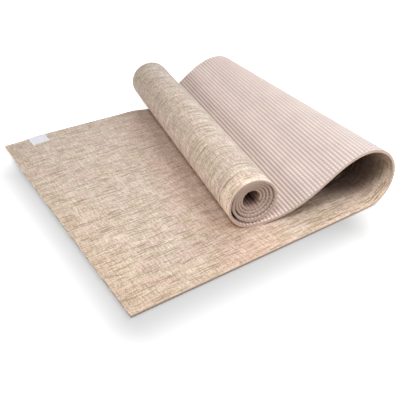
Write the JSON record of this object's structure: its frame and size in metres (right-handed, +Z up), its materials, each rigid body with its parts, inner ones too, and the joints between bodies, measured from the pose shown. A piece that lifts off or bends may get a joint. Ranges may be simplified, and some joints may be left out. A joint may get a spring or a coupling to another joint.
{
  "type": "yoga mat",
  "caption": "Woven jute exercise mat on ribbed foam, lying flat at one end, turned back over itself in an open loop and wound into a loose roll.",
  "frame": {"origin": "middle of the bounding box's base, on the floor under the flat part of the mat", "axes": "+Z up, +X from the flat part's free end towards the open loop, +Y across the width towards the long edge with the label"},
  "size_m": [0.6338, 0.6828, 0.1131],
  "materials": {
    "jute_weave": "undyed jute yarns in a close plain weave, matt, with uneven tan, olive and pinkish yarns",
    "foam": "closed-cell polymer foam, matt",
    "net_yarn": "thin polyester net, hidden inside the foam",
    "ribbed_foam": "pinkish beige polymer foam with fine ribs across the width, matt",
    "label_ribbon": "bare off-white woven ribbon, folded over the edge"
  },
  "bodies": {
    "root": {"jute_face": "jute_weave", "foam_cushion": "foam", "reinforcing_net": "net_yarn", "ribbed_foam_back": "ribbed_foam", "edge_label": "label_ribbon"}
  },
  "joints": []
}
